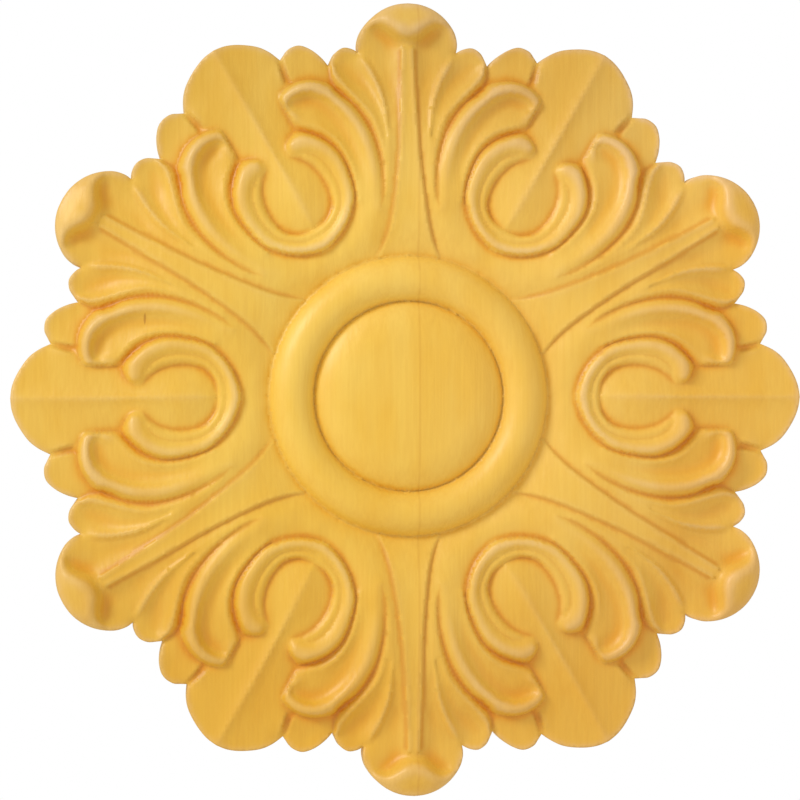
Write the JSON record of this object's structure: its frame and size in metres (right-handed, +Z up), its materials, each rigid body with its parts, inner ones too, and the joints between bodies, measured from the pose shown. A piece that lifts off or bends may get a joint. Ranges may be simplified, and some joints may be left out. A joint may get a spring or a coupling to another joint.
{
  "type": "carved rosette",
  "caption": "Round carved wooden rosette: domed boss in a round-backed ring, scroll-lobed leaves with scooped tips and ridged petals between them, flat back.",
  "frame": {"origin": "centre of the flat back, on the face that lies against the wall or panel", "axes": "+Z up along a leaf's axis as it hangs, +X to the right as seen from the front, +Y into the wall; the carving faces -Y"},
  "size_m": [0.3998, 0.0246, 0.3979],
  "materials": {
    "carved_wood": "satin clear varnish over light honey-coloured wood"
  },
  "bodies": {
    "root": {"rosette": "carved_wood"}
  },
  "joints": []
}
